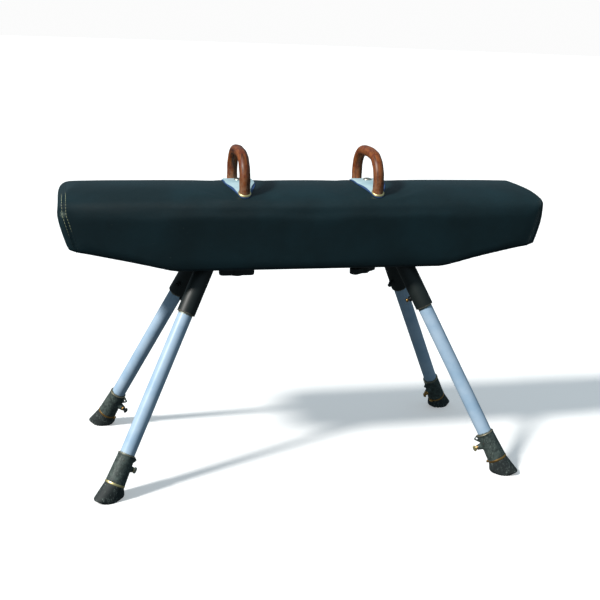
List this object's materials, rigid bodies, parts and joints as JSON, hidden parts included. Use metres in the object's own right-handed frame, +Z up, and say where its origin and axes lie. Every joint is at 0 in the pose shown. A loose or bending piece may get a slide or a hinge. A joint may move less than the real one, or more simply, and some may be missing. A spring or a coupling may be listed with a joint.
{
  "type": "pommel horse",
  "caption": "Padded gymnastics horse on telescopic splayed legs with hoof feet; sliding curved pommels are drawn down by rods and hand nuts.",
  "frame": {"origin": "on the floor under the middle of the body", "axes": "+X along the body to the right end, +Y to the rear, +Z up"},
  "size_m": [1.6, 0.6968, 1.074],
  "materials": {
    "leather_cover": "dark teal leather, worn satin",
    "felt_padding": "pressed felt",
    "core_wood": "bare glued boards",
    "black_steel": "black paint over steel, worn",
    "blue_paint": "light blue enamel, chalky",
    "cast_iron_foot": "rough casting, dark paint",
    "hoof_rubber": "dull, scuffed",
    "brass_trim": "aged",
    "zinc_steel": "zinc plate, dull",
    "grip_wood": "oiled, polished by hands",
    "base_blue": "pale blue enamel, rubbed",
    "packing_rubber": "dull",
    "tack_brass": "tarnished"
  },
  "bodies": {
    "horse": {"cover": "leather_cover", "end_cap_left": "leather_cover", "end_cap_right": "leather_cover", "padding": "felt_padding", "cover_tacks": "tack_brass", "plate_bolts": "zinc_steel", "leg_plate_left": "black_steel", "leg_plate_right": "black_steel", "sleeve_tie_left": "black_steel", "sleeve_tie_right": "black_steel", "clamp_rail_left": "black_steel", "clamp_rail_right": "black_steel", "sleeve_nuts": "black_steel", "core_top_board": "core_wood", "core_bottom_board": "core_wood", "core_slope_left": "core_wood", "core_slope_right": "core_wood", "core_side_front": "core_wood", "core_side_rear": "core_wood", "core_block_left": "core_wood", "core_block_right": "core_wood", "core_ribs": "core_wood", "sleeve_fl": "black_steel", "sleeve_fr": "black_steel", "sleeve_rl": "black_steel", "sleeve_rr": "black_steel"},
    "leg_fl": {"leg_tube_fl": "blue_paint"},
    "foot_fl": {"foot_socket_fl": "cast_iron_foot", "hoof_fl": "hoof_rubber", "foot_trim_fl": "brass_trim"},
    "foot_clamp_fl": {"foot_screw_fl": "zinc_steel"},
    "sleeve_clamp_fl": {"sleeve_screw_fl": "black_steel"},
    "leg_fr": {"leg_tube_fr": "blue_paint"},
    "foot_fr": {"foot_socket_fr": "cast_iron_foot", "hoof_fr": "hoof_rubber", "foot_trim_fr": "brass_trim"},
    "foot_clamp_fr": {"foot_screw_fr": "zinc_steel"},
    "sleeve_clamp_fr": {"sleeve_screw_fr": "brass_trim"},
    "leg_rl": {"leg_tube_rl": "blue_paint"},
    "foot_rl": {"foot_socket_rl": "cast_iron_foot", "hoof_rl": "hoof_rubber", "foot_trim_rl": "brass_trim"},
    "foot_clamp_rl": {"foot_screw_rl": "zinc_steel"},
    "sleeve_clamp_rl": {"sleeve_screw_rl": "black_steel"},
    "leg_rr": {"leg_tube_rr": "blue_paint"},
    "foot_rr": {"foot_socket_rr": "cast_iron_foot", "hoof_rr": "hoof_rubber", "foot_trim_rr": "brass_trim"},
    "foot_clamp_rr": {"foot_screw_rr": "zinc_steel"},
    "sleeve_clamp_rr": {"sleeve_screw_rr": "black_steel"},
    "pommel_left": {"pommel_base_left": "base_blue", "pommel_packing_left": "packing_rubber", "pommel_grip_left": "grip_wood", "draw_rod_left": "zinc_steel"},
    "nut_left": {"hand_nut_left": "black_steel"},
    "pommel_right": {"pommel_base_right": "base_blue", "pommel_packing_right": "packing_rubber", "pommel_grip_right": "grip_wood", "draw_rod_right": "zinc_steel"},
    "nut_right": {"hand_nut_right": "black_steel"}
  },
  "joints": [
    {"name": "leg_extend_fl", "type": "slide", "parent": "horse", "child": "leg_fl", "axis": [-0.4136, -0.2864, -0.8643], "range_m": [0, 0.225]},
    {"name": "foot_level_fl", "type": "slide", "parent": "leg_fl", "child": "foot_fl", "axis": [-0.4136, -0.2864, -0.8643], "range_m": [0, 0.04]},
    {"name": "foot_clamp_turn_fl", "type": "hinge", "parent": "foot_fl", "child": "foot_clamp_fl", "pos_m": [-0.62187, -0.28429, 0.09853], "axis": [0.7106, 0.492, -0.503], "range_deg": [0, 810]},
    {"name": "sleeve_clamp_turn_fl", "type": "hinge", "parent": "horse", "child": "sleeve_clamp_fl", "pos_m": [-0.38802, -0.12237, 0.58724], "axis": [-0.5693, 0.8221, 0], "range_deg": [0, 810]},
    {"name": "leg_extend_fr", "type": "slide", "parent": "horse", "child": "leg_fr", "axis": [0.4136, -0.2864, -0.8643], "range_m": [0, 0.225]},
    {"name": "foot_level_fr", "type": "slide", "parent": "leg_fr", "child": "foot_fr", "axis": [0.4136, -0.2864, -0.8643], "range_m": [0, 0.04]},
    {"name": "foot_clamp_turn_fr", "type": "hinge", "parent": "foot_fr", "child": "foot_clamp_fr", "pos_m": [0.62187, -0.28429, 0.09853], "axis": [-0.7106, 0.492, -0.503], "range_deg": [0, 810]},
    {"name": "sleeve_clamp_turn_fr", "type": "hinge", "parent": "horse", "child": "sleeve_clamp_fr", "pos_m": [0.38802, -0.12237, 0.58724], "axis": [-0.7106, 0.492, -0.503], "range_deg": [0, 810]},
    {"name": "leg_extend_rl", "type": "slide", "parent": "horse", "child": "leg_rl", "axis": [-0.4136, 0.2864, -0.8643], "range_m": [0, 0.225]},
    {"name": "foot_level_rl", "type": "slide", "parent": "leg_rl", "child": "foot_rl", "axis": [-0.4136, 0.2864, -0.8643], "range_m": [0, 0.04]},
    {"name": "foot_clamp_turn_rl", "type": "hinge", "parent": "foot_rl", "child": "foot_clamp_rl", "pos_m": [-0.62187, 0.28429, 0.09853], "axis": [0.7106, -0.492, -0.503], "range_deg": [0, 810]},
    {"name": "sleeve_clamp_turn_rl", "type": "hinge", "parent": "horse", "child": "sleeve_clamp_rl", "pos_m": [-0.38802, 0.12237, 0.58724], "axis": [-0.5693, -0.8221, 0], "range_deg": [0, 810]},
    {"name": "leg_extend_rr", "type": "slide", "parent": "horse", "child": "leg_rr", "axis": [0.4136, 0.2864, -0.8643], "range_m": [0, 0.225]},
    {"name": "foot_level_rr", "type": "slide", "parent": "leg_rr", "child": "foot_rr", "axis": [0.4136, 0.2864, -0.8643], "range_m": [0, 0.04]},
    {"name": "foot_clamp_turn_rr", "type": "hinge", "parent": "foot_rr", "child": "foot_clamp_rr", "pos_m": [0.62187, 0.28429, 0.09853], "axis": [-0.7106, -0.492, -0.503], "range_deg": [0, 810]},
    {"name": "sleeve_clamp_turn_rr", "type": "hinge", "parent": "horse", "child": "sleeve_clamp_rr", "pos_m": [0.38802, 0.12237, 0.58724], "axis": [-0.7106, -0.492, -0.503], "range_deg": [0, 810]},
    {"name": "pommel_slide_left", "type": "slide", "parent": "horse", "child": "pommel_left", "axis": [1, 0, 0], "range_m": [-0.005, 0.018]},
    {"name": "hand_nut_turn_left", "type": "hinge", "parent": "pommel_left", "child": "nut_left", "pos_m": [-0.22, 0, 0.665], "axis": [0, 0, -1], "range_deg": [0, 1080]},
    {"name": "pommel_slide_right", "type": "slide", "parent": "horse", "child": "pommel_right", "axis": [1, 0, 0], "range_m": [-0.018, 0.005]},
    {"name": "hand_nut_turn_right", "type": "hinge", "parent": "pommel_right", "child": "nut_right", "pos_m": [0.22, 0, 0.665], "axis": [0, 0, -1], "range_deg": [0, 1080]}
  ]
}
